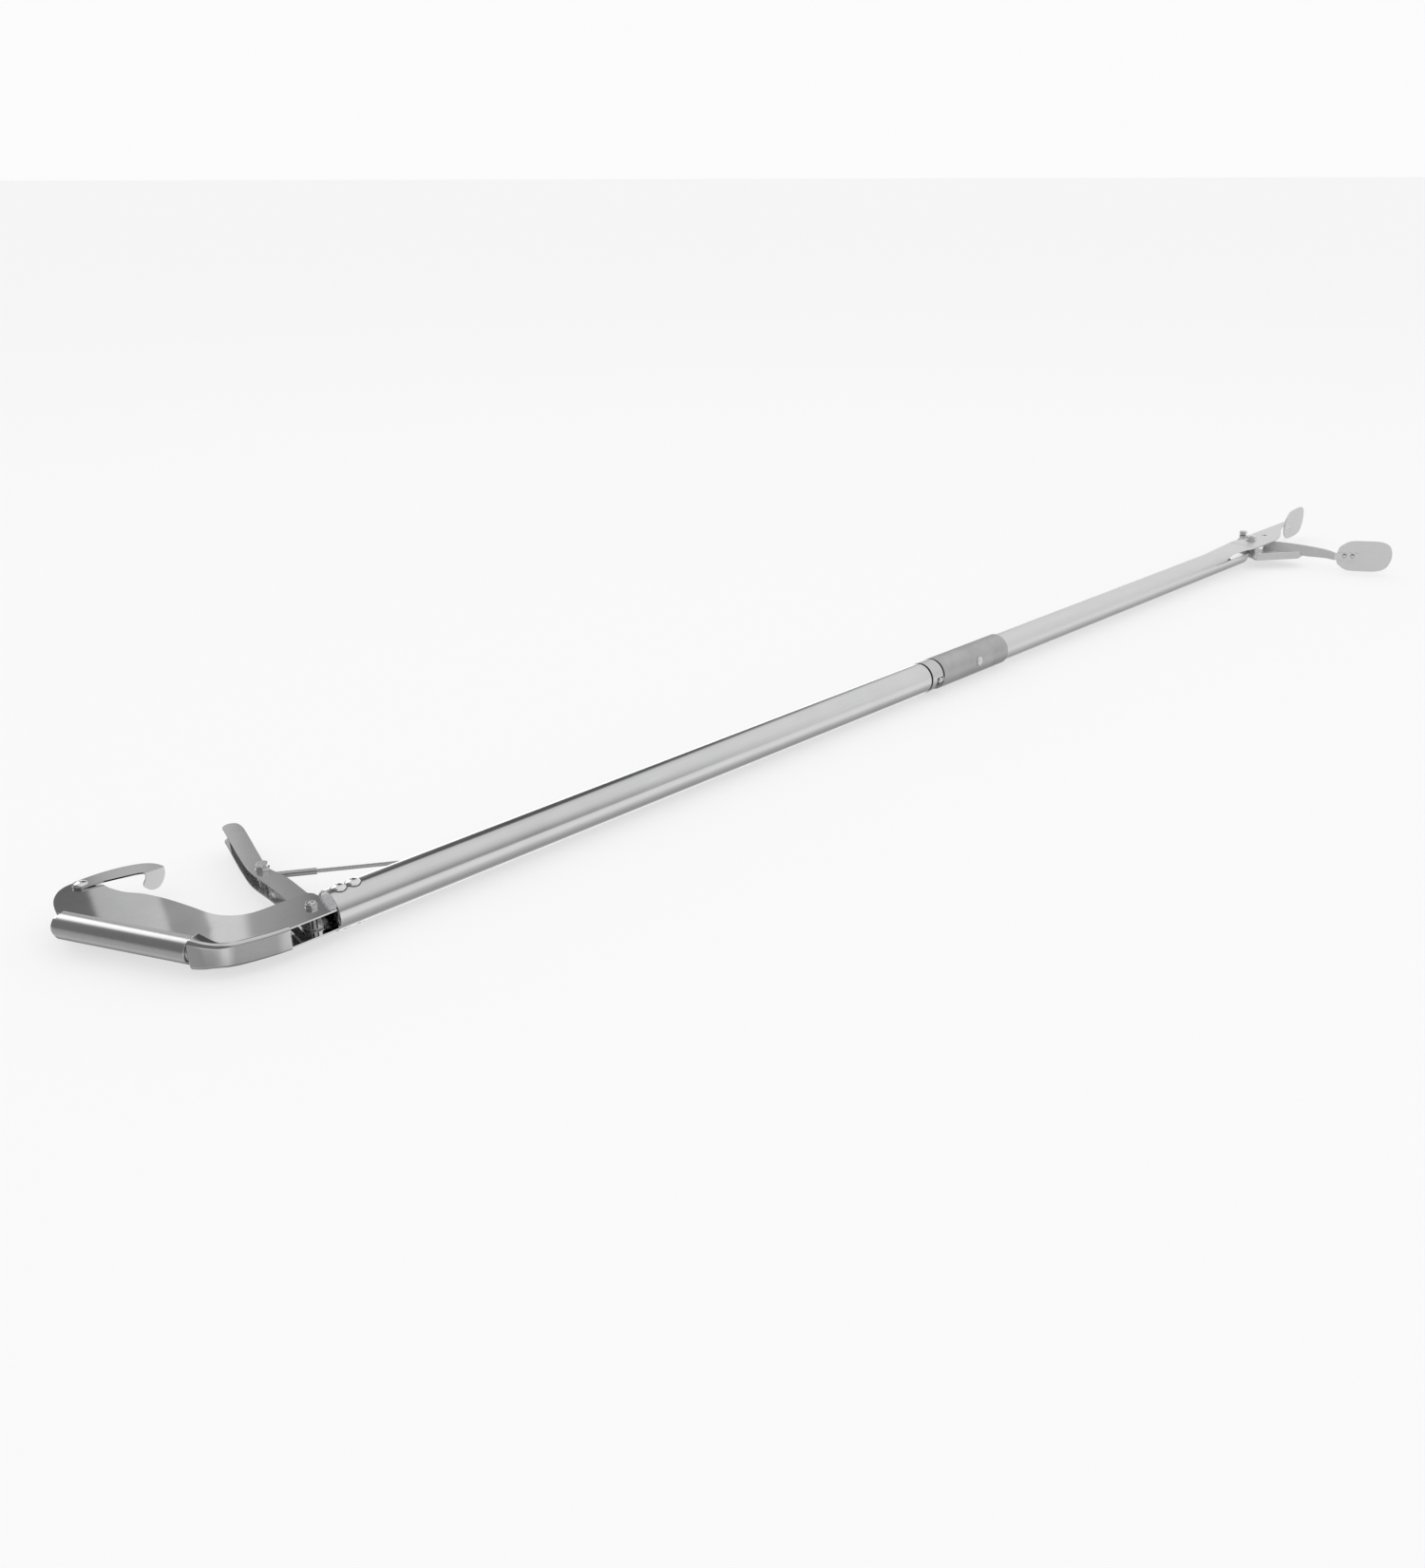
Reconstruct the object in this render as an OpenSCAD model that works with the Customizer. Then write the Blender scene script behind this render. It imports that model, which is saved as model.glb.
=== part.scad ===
// Hand-held grabbing pole: pistol grip, trigger, wire-rope pull and a pair of paddle jaws.
// The pole lies on its side. X runs from the handle to the jaws along the tube axis, Z is up
// along every pivot bolt, and +Y is the side where the trigger stands.
// The origin is on the tube axis, at the rear end of the rear tube.

/* [Tubes] */
// Outside diameter of the rear tube
rear_od = 25; // [24.6:0.1:25.4]
// Outside diameter of the front tube
front_od = 24; // [23.6:0.1:24.2]
// Wall thickness of both tubes
tube_wall = 1; // [0.8:0.1:1.1]
// Length of the rear tube
rear_len = 549; // [400:1:900]

/* [Handle] */
// Outside height of the folded handle channel
channel_h = 13; // [12.6:0.1:13.4]
// Thickness of the handle, trigger and latch sheet
sheet_t = 1; // [0.8:0.1:1.2]
// Length of the half-round palm guard
guard_len = 87; // [70:1:90]
// Outside radius of the palm guard
guard_r = 7.9; // [7.8:0.1:8]

/* [Trigger] */
// Radius of the trigger's pivot boss
boss_r = 7.6; // [6.5:0.1:8.5]
// Gap between a trigger flange and the handle flange that it slides under
trigger_gap = 0.2; // [0.1:0.05:0.4]

/* [Cable] */
// Diameter of the wire rope
rope_d = 2.2; // [1.5:0.1:2.4]
// Outside diameter of the crimped ferrules
ferrule_d = 4; // [3.4:0.1:4.4]

/* [Coupling] */
// Width of the slotted index ring
ring_w = 13.8; // [12:0.2:16]
// Outside diameter of the coupling sleeve
sleeve_od = 26.4; // [26:0.1:27]
// Length of the coupling sleeve
sleeve_len = 91.5; // [85:0.5:120]
// Angle that the head can be turned through
turn_range = 90; // [45:5:90]

/* [Jaws] */
// Distance from the coupling to the end of the round part of the front tube
head_reach = 568; // [400:1:800]
// Length of a jaw pad
pad_len = 55; // [50:1:60]
// Height of a jaw pad
pad_h = 33; // [26:1:34]
// Thickness of the jaw and pad sheet
jaw_t = 1.2; // [1:0.1:1.4]

/* [Hidden] */
$fn = 64;

// Radial running clearance of a pin in its hole
run = 0.05;
// Overlap that joins or cuts through surfaces cleanly
eps = 0.2;

rear_r = rear_od / 2;
front_r = front_od / 2;
bore_r = rear_r - tube_wall;
front_bore_r = front_r - tube_wall;
flange_top = channel_h / 2;
flange_in = flange_top - sheet_t;

// Places on the handle
trigger_pivot = [-9.7, 1.3];
latch_pivot = [-93, 117.6];
guard_root = [-74.5, 12.6];
guard_dir = [-0.4552, 0.8904];
guard_angle = atan2(guard_dir.y, guard_dir.x);
grip_end = guard_root + 91 * guard_dir;
insert_x = 24;
insert_half = sqrt(pow(bore_r, 2) - pow(flange_top, 2)) - 0.15;
rivet_xs = [7.5, 16.7];
rivet_r = 2.4;

// Places on the trigger and its rope
bolt4_r = 2;
anchor = [-6.4, 65.2];
rope_entry = [79, 12];
trigger_rope_angle = atan2(rope_entry.y - anchor.y, rope_entry.x - anchor.x);
trigger_top = flange_in - trigger_gap;
trigger_in = trigger_top - sheet_t;
ferrule_start = 3.4;
trigger_ferrule_end = 31;
trigger_rope_end = 138;
pull_rope_start = 118;

// Places on the coupling
groove_w = 1.6;
ring_x0 = rear_len + groove_w;
ring_x1 = ring_x0 + ring_w;
sleeve_x0 = ring_x1 + groove_w;
sleeve_x1 = sleeve_x0 + sleeve_len;
spigot_r = 10.5;
spigot_bore_r = 8;
spigot_x0 = rear_len - 47;
shoulder_x = sleeve_x0 + 28.8;
spigot_x1 = shoulder_x + 3.2;
front_x0 = shoulder_x + 8;
index_angle = 6;
index_x = ring_x1 - 4;
finger_half = 8.5;
sleeve_rivet_x = sleeve_x0 + 49.3;
sleeve_rivet_angle = -8;

// Places on the head
round_x1 = rear_len + head_reach;
slit_x0 = round_x1 - 74;
slit_z = 2.5;
tongue_x0 = round_x1 + 8;
tongue_z = 7;
tongue_near = -17;
tongue_far = 14.5;
jaw_pivot = [round_x1 + 34, 3.5];
bolt6_r = 3;
lanyard_hole = [round_x1 + 64, 1.7];
lanyard_r = 2.5;
floor_z = -5;
arm_top = tongue_z - 0.5;
tail_lever = 32;
tail_angle = 39.4;
tail = jaw_pivot + tail_lever * [cos(tail_angle), sin(tail_angle)];
jaw_rope_z = 4.2;
jaw_rope_entry = [round_x1 - 5, 7];
jaw_rope_angle = atan2(jaw_rope_entry.y - tail.y, jaw_rope_entry.x - tail.x);
jaw_ferrule_end = 28;
jaw_rope_end = 58;
pull_rope_end = round_x1 - 47;
pad_z = 3.5;
fixed_pad_at = [round_x1 + 127, 6.6];
fixed_pad_angle = 3.5;
moving_pad_at = [round_x1 + 54, -85.5];
moving_pad_angle = -53.9;
pad_rivet_s = [7, 15];

// ---------- Curves ----------

// Point on a Catmull-Rom curve between p1 and p2
function curve_point(p0, p1, p2, p3, t) =
    0.5 * (2 * p1 + (p2 - p0) * t + (2 * p0 - 5 * p1 + 4 * p2 - p3) * t * t
    + (3 * p1 - p0 - 3 * p2 + p3) * t * t * t);

// Smooth open curve through every point, with n steps between neighbours
function smooth(p, n = 4) = [
    for (i = [0 : len(p) - 2], k = [0 : n - 1])
        curve_point(p[max(i - 1, 0)], p[i], p[i + 1], p[min(i + 2, len(p) - 1)], k / n),
    p[len(p) - 1]
];

// Smooth closed curve through every point
function smooth_loop(p, n = 4) = [
    for (i = [0 : len(p) - 1], k = [0 : n - 1])
        curve_point(p[(i + len(p) - 1) % len(p)], p[i], p[(i + 1) % len(p)],
            p[(i + 2) % len(p)], k / n)
];

// Unit direction of a path at point i
function heading(path, i) =
    let (d = path[min(i + 1, len(path) - 1)] - path[max(i - 1, 0)]) d / norm(d);

// Path moved sideways, positive to the right of its heading
function beside(path, d) = [
    for (i = [0 : len(path) - 1])
        let (h = heading(path, i)) path[i] + d * [h.y, -h.x]
];

function reversed(p) = [for (i = [len(p) - 1 : -1 : 0]) p[i]];

function without_first(p) = [for (i = [1 : len(p) - 1]) p[i]];

// Outline of a strip of width w that follows a path
function ribbon(path, w) = concat(beside(path, -w / 2), reversed(beside(path, w / 2)));

// Solid skin through closed sections that all have the same number of points
module skin(sections) {
    m = len(sections[0]);
    n = len(sections);
    points = [for (s = sections, p = s) p];
    sides = [
        for (i = [0 : n - 2], j = [0 : m - 1])
            [i * m + j, i * m + (j + 1) % m, (i + 1) * m + (j + 1) % m, (i + 1) * m + j]
    ];
    first = [for (j = [m - 1 : -1 : 0]) j];
    last = [for (j = [0 : m - 1]) (n - 1) * m + j];
    polyhedron(points, concat([first], sides, [last]), convexity = 6);
}

// ---------- Fasteners ----------

// Cylinder along X from x0 to x1
module rod_x(x0, x1, r) {
    translate([x0, 0, 0]) rotate([0, 90, 0]) cylinder(h = x1 - x0, r = r);
}

// Tube along X
module tube_x(x0, x1, ro, ri) {
    difference() {
        rod_x(x0, x1, ro);
        rod_x(x0 - eps, x1 + eps, ri);
    }
}

// Upright cylinder at a place in plan
module post(at, z0, z1, r) {
    translate([at.x, at.y, z0]) cylinder(h = z1 - z0, r = r);
}

// Flat ring between two heights
module washer(at, z0, z1, ro, ri) {
    difference() {
        post(at, z0, z1, ro);
        post(at, z0 - eps, z1 + eps, ri);
    }
}

// Hexagon with its corners turned down to a cone, as on a real nut
module hex_body(z0, z1, across) {
    corner_r = across / 2 / cos(30);
    intersection() {
        translate([0, 0, z0]) linear_extrude(z1 - z0) circle(r = corner_r, $fn = 6);
        rotate_extrude() polygon([
            [0, z0], [across / 2 * 1.02, z0], [corner_r * 1.02, z0 + 0.5],
            [corner_r * 1.02, z1 - 0.5], [across / 2 * 1.02, z1], [0, z1]
        ]);
    }
}

module nut(at, z0, z1, across, ri) {
    translate([at.x, at.y, 0]) difference() {
        hex_body(z0, z1, across);
        translate([0, 0, z0 - eps]) cylinder(h = z1 - z0 + 2 * eps, r = ri);
    }
}

// Bolt with its head below and its chamfered end at z1
module bolt(at, head_z0, head_z1, z1, r, across) {
    translate([at.x, at.y, 0]) {
        hex_body(head_z0, head_z1, across);
        rotate_extrude() polygon([
            [0, head_z1 - eps], [r, head_z1 - eps], [r, z1 - 0.5], [r - 0.5, z1], [0, z1]
        ]);
    }
}

// Low round rivet head on the plane z = 0
module dome(r, h) {
    curve_r = (r * r + h * h) / (2 * h);
    intersection() {
        translate([0, 0, h - curve_r]) sphere(r = curve_r, $fn = 96);
        cylinder(h = h + eps, r = r);
    }
}

// ---------- Handle ----------

// Near edge of the handle flange, from the end of the guard round the heel to the open side
function heel_path() = smooth([
    guard_root, [-71.2, 4.6], [-66.4, -2.4], [-58.5, -6.8], [-48.5, -9.6],
    [-38.4, -11.5], [-31, -12.2]
]);

// Edge on the trigger side, from the top of the grip down to the tube
function palm_side() = smooth([
    [-82.3, 104], [-78.2, 93], [-71.2, 83], [-64.4, 68], [-58.8, 50.5],
    [-53.6, 33], [-46.5, 23.2], [-38, 18.5], [-30, 17.6]
]);

// Rounded top of the grip
function grip_top() = smooth([
    grip_end, [-113.4, 105.5], [-109.5, 114.5], [-103.6, 121.4], [-96, 124],
    [-88.6, 120.6], [-84, 113], [-82.3, 104]
]);

module flange_outline() {
    // The straight edge ends inside the strip that is folded with the grip's back
    set_back = -1.4 * [-guard_dir.y, guard_dir.x];
    polygon(concat(
        [[insert_x, -insert_half], [-0.5, -insert_half], [-1.5, heel_path()[24].y]],
        reversed(heel_path()),
        [guard_root + set_back, grip_end + set_back],
        without_first(grip_top()),
        without_first(palm_side()),
        [[-5.5, 17.6], [-3, 16.6], [-1.2, 14], [-0.5, insert_half], [insert_x, insert_half]]
    ));
}

// Wall that closes the near side of the channel, from inside the grip's back round the heel
module heel() {
    path = concat([guard_root + 2 * guard_dir], heel_path());
    translate([0, 0, -flange_in - sheet_t / 2]) linear_extrude(2 * flange_in + sheet_t)
        polygon(concat(beside(path, -0.1), reversed(beside(path, -0.1 - sheet_t))));
}

// Half-round back of the grip, folded in one piece with a strip of both flanges
module grip_back() {
    strip = 3;
    translate([guard_root.x, guard_root.y, 0])
    rotate([0, 0, guard_angle])
    rotate([90, 0, 90])
    linear_extrude(91)
        polygon(concat(
            [[-strip, flange_top]],
            [for (a = [90 : -9 : -90]) flange_top * [cos(a), sin(a)]],
            [[-strip, -flange_top], [-strip, -flange_in]],
            [for (a = [-90 : 9 : 90]) flange_in * [cos(a), sin(a)]],
            [[-strip, flange_in]]
        ));
}

module handle_holes(r) {
    for (x = rivet_xs) post([x, 0], -rear_r - 1, rear_r + 1, r);
}

module handle_frame() {
    color("gainsboro")
    difference() {
        union() {
            for (z = [flange_in, -flange_top])
                translate([0, 0, z]) linear_extrude(sheet_t) flange_outline();
            heel();
            grip_back();
        }
        post(trigger_pivot, -channel_h, channel_h, bolt4_r + run);
        post(latch_pivot, 0, channel_h, bolt4_r + run);
        handle_holes(rivet_r);
    }
}

module palm_guard() {
    lip = 2.7;
    wall = 1.2;
    color("silver")
    translate([guard_root.x, guard_root.y, 0])
    rotate([0, 0, guard_angle])
    rotate([90, 0, 90])
    translate([0, 0, 1.5])
    linear_extrude(guard_len)
    difference() {
        union() {
            circle(r = guard_r, $fn = 96);
            translate([-lip, -guard_r]) square([lip, 2 * guard_r]);
        }
        circle(r = guard_r - wall, $fn = 96);
        translate([-2 * guard_r, wall - guard_r])
            square([2 * guard_r, 2 * (guard_r - wall)]);
        translate([-3 * guard_r, -2 * guard_r])
            square([3 * guard_r - lip, 4 * guard_r]);
    }
}

module rear_tube() {
    color("silver")
    difference() {
        tube_x(0, rear_len, rear_r, bore_r);
        handle_holes(rivet_r);
        // Long slot where the rope enters on the trigger side
        hull() {
            for (x = [rope_entry.x - 17, rope_entry.x + 17])
                translate([x, 0, 0]) rotate([-90, 0, 0]) cylinder(h = rear_od, r = 2.6, $fn = 32);
        }
    }
}

module handle_rivets() {
    color("gainsboro")
    for (x = rivet_xs) {
        post([x, 0], -rear_r, rear_r, rivet_r);
        for (side = [0, 1])
            mirror([0, 0, side]) difference() {
                translate([x, 0, rear_r - 1]) {
                    cylinder(h = 1.2, r = 4.5);
                    translate([0, 0, 1.2]) dome(4.5, 2);
                }
                rod_x(x - 10, x + 10, rear_r);
            }
    }
}

module trigger_pivot_bolt() {
    color("gainsboro") bolt(trigger_pivot, -flange_top - 3, -flange_top - 0.6, 9.2, bolt4_r, 6.6);
}

module trigger_pivot_nut() {
    color("gainsboro") nut(trigger_pivot, flange_top + 0.6, flange_top + 2.4, 6.6, bolt4_r);
}

module trigger_pivot_washers() {
    color("gainsboro") {
        washer(trigger_pivot, flange_top, flange_top + 0.6, 3.7, bolt4_r);
        washer(trigger_pivot, -flange_top - 0.6, -flange_top, 3.7, bolt4_r);
    }
}

// ---------- Trigger ----------

// Finger side of the trigger, from the boss to the tip
function finger_edge() = smooth([
    [-2.1, 1.3], [-2.4, 20], [-1.4, 45], [-3.4, 64], [0.9, 83], [7, 106], [11.6, 124], [12.3, 131.5]
]);

// Open side of the trigger, from the boss to the tip
function open_edge() = smooth([
    [-17.3, 1.3], [-15.2, 20], [-14.2, 44], [-13.8, 67], [-9.6, 88], [-4.6, 108], [1.5, 131.5]
]);

module trigger_outline() {
    polygon(concat(finger_edge(), reversed(open_edge())));
    translate([trigger_pivot.x, trigger_pivot.y]) circle(r = boss_r);
    translate([6.9, 131.5]) circle(r = 5.4);
}

module trigger() {
    web_start = 18;
    color("silver")
    difference() {
        translate([0, 0, -trigger_top]) linear_extrude(2 * trigger_top) trigger_outline();
        translate([-sheet_t - 0.1, 0, -trigger_in]) linear_extrude(2 * trigger_in)
            trigger_outline();
        translate([-40, -20, -trigger_in]) cube([60, 20 + web_start, 2 * trigger_in]);
        // Slot that lets the rope swing out through the web
        translate([-8, 48, -trigger_in]) cube([12, 22, 2 * trigger_in]);
        post(trigger_pivot, -channel_h, channel_h, bolt4_r + run);
        post(anchor, -channel_h, channel_h, bolt4_r);
    }
}

module cable_anchor_bolt() {
    color("gainsboro") rotate([180, 0, 0])
        bolt([anchor.x, -anchor.y], -trigger_top - 3.6, -trigger_top - 0.8, 9.8, bolt4_r, 7);
}

module cable_anchor_nut() {
    color("gainsboro") nut(anchor, -trigger_top - 4, -trigger_top - 0.8, 7, bolt4_r);
}

module cable_anchor_washers() {
    eye_half = 1.9;
    color("gainsboro") {
        washer(anchor, trigger_top, trigger_top + 0.8, 4.4, bolt4_r);
        washer(anchor, -trigger_top - 0.8, -trigger_top, 4.4, bolt4_r);
        washer(anchor, eye_half, trigger_in, 3, bolt4_r);
        washer(anchor, -trigger_in, -eye_half, 3, bolt4_r);
    }
}

// ---------- Rope ----------

// Crimped eye: a flat eye round the bolt and a round sleeve that grips the rope
module ferrule(at, angle, z, pin_r, end) {
    translate([at.x, at.y, z]) rotate([0, 0, angle]) difference() {
        union() {
            translate([0, 0, -1.7]) cylinder(h = 3.4, r = pin_r + 1.9);
            rod_x(ferrule_start, end, ferrule_d / 2);
        }
        translate([0, 0, -3]) cylinder(h = 6, r = pin_r + run);
        rod_x(end - 8, end + eps, rope_d / 2);
    }
}

module trigger_ferrule() {
    color("gainsboro") ferrule(anchor, trigger_rope_angle, 0, bolt4_r, trigger_ferrule_end);
}

module trigger_rope() {
    color("silver") translate([anchor.x, anchor.y, 0]) rotate([0, 0, trigger_rope_angle])
        rod_x(trigger_ferrule_end - 8, trigger_rope_end, rope_d / 2);
}

module pull_rope() {
    color("silver") rod_x(pull_rope_start, pull_rope_end, rope_d / 2);
}

// ---------- Latch ----------

module latch_outline() {
    polygon(concat(
        smooth([[-93, 122.4], [-85, 122.9], [-76, 122.6], [-66, 120.8], [-57, 117.2], [-51.6, 112],
            [-49.3, 106], [-49.3, 103.5]]),
        smooth([[-60.8, 103.5], [-61.6, 105.6], [-65, 107.2], [-73, 109.2], [-83, 111.4],
            [-93, 112.8]])
    ));
    translate([latch_pivot.x, latch_pivot.y]) circle(r = 4.8);
}

// Hooked tab that hangs from the front of the arm
module latch_tab() {
    top = flange_top + 0.5 + sheet_t / 2;
    translate([0, 103.5 + sheet_t, 0]) rotate([90, 0, 0]) linear_extrude(sheet_t)
        polygon(concat(
            smooth([[-60.8, top], [-61, 4.5], [-63, 0.8], [-61.6, -2], [-58, -4.2], [-53.8, -3.4],
                [-50.6, 0.6], [-49.3, 4.6], [-49.3, top]])
        ));
}

module latch_hook() {
    color("silver")
    difference() {
        union() {
            translate([0, 0, flange_top + 0.5]) linear_extrude(sheet_t) latch_outline();
            latch_tab();
        }
        post(latch_pivot, 0, channel_h, bolt4_r + run);
    }
}

module latch_rivet() {
    top = flange_top + 0.5 + sheet_t;
    color("gainsboro") {
        post(latch_pivot, flange_in - 0.9, top + 0.1, bolt4_r);
        post(latch_pivot, flange_in - 0.9, flange_in - 0.05, 3.4);
        translate([latch_pivot.x, latch_pivot.y, top + 0.05]) dome(4, 1.5);
    }
}

module latch_washer() {
    color("gainsboro")
        washer(latch_pivot, flange_top + 0.05, flange_top + 0.45, 4.5, bolt4_r + run);
}

// ---------- Coupling ----------

module spigot() {
    color("dimgray")
    difference() {
        union() {
            rod_x(spigot_x0, rear_len, bore_r);
            rod_x(rear_len - eps, spigot_x1, spigot_r);
        }
        rod_x(spigot_x0 - eps, spigot_x1 + eps, spigot_bore_r);
        tube_x(shoulder_x + 0.3, shoulder_x + 1.7, spigot_r + 1, spigot_r - 0.6);
    }
}

// Slice of a ring between two angles, measured from -Y towards -Z
module ring_sector(x0, x1, ro, ri, a0, a1) {
    reach = 2 * ro;
    steps = ceil((a1 - a0) / 30);
    intersection() {
        tube_x(x0, x1, ro, ri);
        translate([x0 - eps, 0, 0]) rotate([90, 0, 90]) linear_extrude(x1 - x0 + 2 * eps)
            polygon(concat([[0, 0]], [
                for (k = [0 : steps])
                    let (a = a0 + (a1 - a0) * k / steps) [-reach * cos(a), -reach * sin(a)]
            ]));
    }
}

module index_ring() {
    color("silver")
    difference() {
        tube_x(ring_x0, ring_x1, rear_r + 0.4, spigot_r);
        // Slot that the finger travels in as the head turns
        ring_sector(ring_x1 - 8, ring_x1 + 1, rear_r + 2, spigot_r - 1,
            index_angle - finger_half - 4, index_angle + turn_range + finger_half + 1.5);
    }
}

module retaining_ring() {
    color("dimgray")
        tube_x(shoulder_x + 0.4, shoulder_x + 1.6, front_r - 0.2, spigot_r - 0.6);
}

module coupling_sleeve() {
    sleeve_r = sleeve_od / 2;
    color("darkgray")
    difference() {
        union() {
            rod_x(sleeve_x0, sleeve_x1, sleeve_r);
            ring_sector(ring_x1 - 6.4, sleeve_x0 + 1, rear_r + 0.2, spigot_r + 0.3,
                index_angle - finger_half, index_angle + finger_half);
        }
        rod_x(sleeve_x0 - eps, sleeve_x1 + eps, spigot_r + run);
        rod_x(shoulder_x, sleeve_x1 + eps, front_r);
        radial(sleeve_rivet_x, sleeve_rivet_angle) cylinder(h = 20, r = 2);
        radial(sleeve_rivet_x, sleeve_rivet_angle + 180) cylinder(h = 20, r = 2);
        radial(index_x, index_angle) cylinder(h = 20, r = 1.2);
    }
}

// Moves a part that stands on Z so that it points outwards, angle measured from -Y towards -Z
module radial(x, angle) {
    translate([x, 0, 0]) rotate([angle, 0, 0]) rotate([90, 0, 0]) children();
}

module index_pin() {
    color("gainsboro")
    radial(index_x, index_angle) {
        translate([0, 0, spigot_r + 0.5]) cylinder(h = 2.5, r = 1.2);
        translate([0, 0, rear_r + 0.25]) dome(2.5, 1.5);
    }
}

module sleeve_rivets() {
    color("gainsboro")
    for (a = [0, 180])
        radial(sleeve_rivet_x, sleeve_rivet_angle + a) {
            translate([0, 0, front_bore_r - 2]) cylinder(h = 5, r = 2);
            translate([0, 0, front_bore_r - 2.4]) cylinder(h = 1.6, r = 2.8);
            difference() {
                translate([0, 0, sleeve_od / 2 - 0.6]) {
                    cylinder(h = 1, r = 3.9);
                    translate([0, 0, 1]) dome(3.9, 1.1);
                }
                rotate([0, 90, 0]) cylinder(h = 20, r = sleeve_od / 2, center = true);
            }
        }
}

// ---------- Head ----------

// Disc of radius r with everything below z cut away, standing across the tube at x
module cut_disc(x, r, z) {
    translate([x, 0, 0]) rotate([90, 0, 90]) linear_extrude(0.1)
        intersection() {
            circle(r = r, $fn = 32);
            translate([-r, z]) square([2 * r, 2 * r]);
        }
}

// Upper half of the tube, opened out until it is flat
module opened_half() {
    tongue_w = tongue_far - tongue_near;
    difference() {
        hull() {
            cut_disc(slit_x0 - 1, front_r - 0.1, slit_z);
            translate([tongue_x0 - 0.1, tongue_near + 0.3, tongue_z + 0.1])
                cube([0.1, tongue_w - 0.6, jaw_t - 0.2]);
        }
        hull() {
            cut_disc(slit_x0 - 1.2, front_bore_r + 0.1, -1);
            translate([tongue_x0, tongue_near - 2, floor_z])
                cube([0.1, tongue_w + 4, tongue_z - floor_z + 0.1]);
        }
    }
}

module tongue_outline() {
    x = round_x1;
    polygon(concat(
        [[tongue_x0 - 0.6, tongue_far - 0.1], [tongue_x0 - 0.6, tongue_near + 0.1]],
        smooth([[tongue_x0 + 2, tongue_near], [x + 36, tongue_near], [x + 55, -16], [x + 75, -11.6],
            [x + 92, -4.6], [x + 107, 1.6], [x + 121, 6], [x + 129, 7.9]]),
        smooth([[x + 150, 9.2], [x + 153.6, 11], [x + 151, 13.6], [x + 142, tongue_far],
            [x + 128, tongue_far]]),
        smooth([[x + 62, tongue_far], [x + 54, 13.6], [x + 46, 10.6], [x + 30, 10.6], [x + 21, 13.6],
            [x + 15, tongue_far]]),
        [[tongue_x0 + 2, tongue_far]]
    ));
}

// Tab folded down behind the fixed pad
module fixed_tab() {
    at_pad(fixed_pad_at, fixed_pad_angle)
        translate([2.5, jaw_t / 2, -4])
            cube([19, jaw_t, tongue_z + jaw_t / 2 - pad_z + 4]);
}

// Round part of the tube, with its lower half left on as far as the jaws
module round_tube() {
    difference() {
        tube_x(front_x0, round_x1, front_r, front_bore_r);
        translate([slit_x0, -front_od, slit_z - 0.4]) cube([100, 2 * front_od, front_od]);
        radial(sleeve_rivet_x, sleeve_rivet_angle) cylinder(h = 20, r = 2);
        radial(sleeve_rivet_x, sleeve_rivet_angle + 180) cylinder(h = 20, r = 2);
    }
}

// Flat tongue with the tab for the fixed pad
module tongue() {
    difference() {
        union() {
            translate([0, 0, tongue_z]) linear_extrude(jaw_t) tongue_outline();
            fixed_tab();
        }
        post(jaw_pivot, 0, 20, bolt6_r);
        post(lanyard_hole, 0, 20, lanyard_r);
        at_pad(fixed_pad_at, fixed_pad_angle) pad_holes();
    }
}

module front_tube() {
    color("silver") {
        round_tube();
        opened_half();
        tongue();
    }
}

// Pad frame: X along the pad, Y through it, Z up, with the origin at the middle of its root edge
module at_pad(at, angle) {
    translate([at.x, at.y, pad_z]) rotate([0, 0, angle]) children();
}

module pad_outline() {
    l = pad_len;
    h = pad_h / 2;
    polygon(smooth_loop([
        [0, 0.4 * h], [0.09 * l, 0.74 * h], [0.22 * l, 0.96 * h], [0.48 * l, h], [0.77 * l, 0.97 * h],
        [0.93 * l, 0.74 * h], [l, 0.26 * h], [l, -0.26 * h], [0.93 * l, -0.74 * h],
        [0.77 * l, -0.97 * h], [0.48 * l, -h], [0.22 * l, -0.96 * h], [0.09 * l, -0.74 * h],
        [0, -0.4 * h]
    ]));
}

module pad_holes() {
    for (s = pad_rivet_s)
        translate([s, -5, 0]) rotate([-90, 0, 0]) cylinder(h = 10, r = 1.6);
}

// Pad with its outline raised by lift above the line of its rivets
module pad_plate(lift) {
    difference() {
        translate([0, jaw_t / 2, lift]) rotate([90, 0, 0]) linear_extrude(jaw_t) pad_outline();
        pad_holes();
    }
}

// Rivets through a pad and the sheet behind it, from y0 to y1 across the stack
module pad_rivets(y0, y1) {
    for (s = pad_rivet_s) {
        translate([s, y0 - 0.1, 0]) rotate([-90, 0, 0]) cylinder(h = y1 - y0 + 0.2, r = 1.6);
        translate([s, y1, 0]) rotate([-90, 0, 0]) dome(2.7, 0.9);
        translate([s, y0, 0]) rotate([90, 0, 0]) dome(2.7, 0.6);
    }
}

module fixed_pad() {
    color("gainsboro") at_pad(fixed_pad_at, fixed_pad_angle) pad_plate(2.5);
}

module fixed_pad_rivets() {
    color("gainsboro") at_pad(fixed_pad_at, fixed_pad_angle)
        pad_rivets(-jaw_t / 2, 1.5 * jaw_t);
}

module jaw_pivot_bolt() {
    color("gainsboro") bolt(jaw_pivot, floor_z - 4.5, floor_z - 0.5, 13.4, bolt6_r, 10);
}

module jaw_pivot_nut() {
    color("gainsboro") nut(jaw_pivot, tongue_z + jaw_t + 1, tongue_z + jaw_t + 4.4, 10, bolt6_r);
}

module jaw_pivot_washer() {
    color("gainsboro")
        washer(jaw_pivot, tongue_z + jaw_t, tongue_z + jaw_t + 1, 6.2, bolt6_r);
}

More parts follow.
